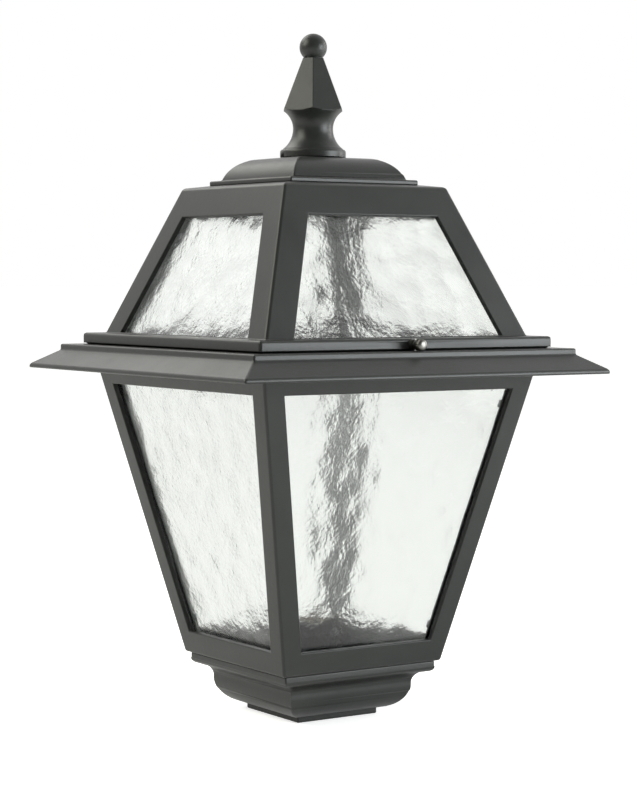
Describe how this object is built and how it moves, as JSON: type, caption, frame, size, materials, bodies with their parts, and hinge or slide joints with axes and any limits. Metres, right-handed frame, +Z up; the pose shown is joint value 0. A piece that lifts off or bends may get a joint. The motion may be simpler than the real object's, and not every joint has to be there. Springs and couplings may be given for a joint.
{
  "type": "garden lamp head",
  "caption": "Four-sided cast lantern head with hammered glass, a square eaves brim, a hinged glazed roof held by a thumb screw, and a ball finial.",
  "frame": {"origin": "middle of the square foot's underside", "axes": "+Z up the lantern's axis; the front with the thumb screw looks along -Y; the roof's hinges are at +Y"},
  "size_m": [0.31, 0.31, 0.5007],
  "materials": {
    "graphite_casting": "satin graphite powder coat on cast aluminium",
    "hammered_glass": "clear hammered glass",
    "steel": "zinc plated",
    "nickel": "bright nickel plated",
    "brass": "turned brass",
    "black_holder": "black moulded lampholder",
    "white_insulator": "glazed white insulator",
    "rubber": "black rubber",
    "brown_insulation": "brown core insulation",
    "blue_insulation": "blue core insulation",
    "green_insulation": "green core insulation"
  },
  "bodies": {
    "lantern": {"base_cup": "graphite_casting", "body_frame": "graphite_casting", "brim": "graphite_casting", "brim_upstand": "graphite_casting", "body_glass_front": "hammered_glass", "body_glass_right": "hammered_glass", "body_glass_back": "hammered_glass", "body_glass_left": "hammered_glass", "body_strip_back_right": "graphite_casting", "body_strip_back_left": "graphite_casting", "body_strip_front_left": "graphite_casting", "body_strip_front_right": "graphite_casting", "body_strip_screws": "steel", "base_screws": "steel", "brim_screws": "steel", "hinge_pins": "steel", "holder_bracket": "steel", "bracket_screws": "steel", "nipple": "brass", "nipple_nut": "brass", "holder_cup": "black_holder", "holder_insert": "white_insulator", "holder_sleeve": "brass", "holder_contact": "brass", "holder_shell": "black_holder", "terminal_block": "white_insulator", "terminal_sleeves": "brass", "terminal_screws": "brass", "terminal_fixings": "steel", "earth_tag": "brass", "earth_screw": "steel", "wire_live": "brown_insulation", "wire_neutral": "blue_insulation", "wire_earth": "green_insulation", "cable_bush": "rubber"},
    "roof": {"roof_frame": "graphite_casting", "roof_cap": "graphite_casting", "finial": "graphite_casting", "roof_glass_front": "hammered_glass", "roof_glass_right": "hammered_glass", "roof_glass_back": "hammered_glass", "roof_glass_left": "hammered_glass", "roof_strip_back_right": "graphite_casting", "roof_strip_back_left": "graphite_casting", "roof_strip_front_left": "graphite_casting", "roof_strip_front_right": "graphite_casting", "roof_strip_screws": "steel", "finial_stud": "steel", "finial_washer": "steel", "finial_nut": "steel"},
    "screw_collar": {"screw_collar": "nickel"},
    "thumb_screw": {"thumb_screw": "nickel"}
  },
  "joints": [
    {"name": "roof_hinge", "type": "hinge", "parent": "lantern", "child": "roof", "pos_m": [0, 0.13, 0.2761], "axis": [-1, 0, 0], "range_deg": [0, 95]},
    {"name": "collar_slide", "type": "slide", "parent": "roof", "child": "screw_collar", "axis": [0, -1, 0], "range_m": [0, 0.0035]},
    {"name": "thumb_screw_turn", "type": "hinge", "parent": "screw_collar", "child": "thumb_screw", "pos_m": [0, -0.1305, 0.2761], "axis": [0, -1, 0], "range_deg": [0, 1800]}
  ],
  "couplings": [
    {"joint": "thumb_screw_turn", "follows": "collar_slide", "rad_per_m": 8976}
  ]
}
